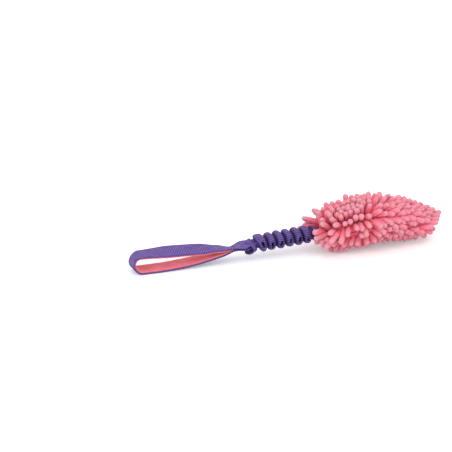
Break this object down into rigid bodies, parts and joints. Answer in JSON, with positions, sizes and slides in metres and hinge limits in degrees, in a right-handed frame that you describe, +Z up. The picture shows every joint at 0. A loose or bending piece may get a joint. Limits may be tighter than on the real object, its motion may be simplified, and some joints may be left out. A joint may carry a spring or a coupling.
{
  "type": "bungee tug toy",
  "caption": "Tug toy with a fleece-lined webbing hand loop, a gathered webbing sleeve over an elastic cord, and a chenille mop head.",
  "frame": {"origin": "on the surface that the toy lies on, under the middle of its length", "axes": "+X from the hand loop to the mop head, +Y across the strap's width, +Z up"},
  "size_m": [0.3958, 0.0966, 0.0635],
  "materials": {
    "webbing": "woven tubular nylon webbing, purple",
    "fleece": "brushed polyester fleece, pink",
    "thread": "bonded sewing thread, purple",
    "elastic": "braided elastic cord",
    "foam": "soft foam pad",
    "chenille": "microfibre chenille strands, pink"
  },
  "bodies": {
    "handle": {"handle_strap": "webbing", "handle_lining": "fleece", "neck_bartack": "thread"},
    "bungee": {"bungee_sleeve": "webbing", "elastic_core": "elastic", "mouth_bartack": "thread"},
    "tail": {"tail_tab": "webbing", "tail_bartack": "thread"},
    "mop": {"mop_upper": "chenille", "mop_under": "chenille", "mop_filling": "foam", "mop_bartack": "thread"}
  },
  "joints": [
    {"name": "neck_flex", "type": "hinge", "parent": "handle", "child": "bungee", "pos_m": [-0.06342, 0, 0.0163], "axis": [0, 1, 0], "range_deg": [-60, 60], "deforming": ["handle_strap"]},
    {"name": "bungee_stretch", "type": "slide", "parent": "bungee", "child": "tail", "axis": [0.998, 0, 0.0639], "range_m": [0, 0.07], "stiffness_N_per_m": 600, "deforming": ["bungee_sleeve", "elastic_core"]},
    {"name": "mop_flex", "type": "hinge", "parent": "tail", "child": "mop", "pos_m": [0.04548, 0, 0.024], "axis": [0, 1, 0], "range_deg": [-60, 60], "deforming": ["tail_tab"]}
  ]
}
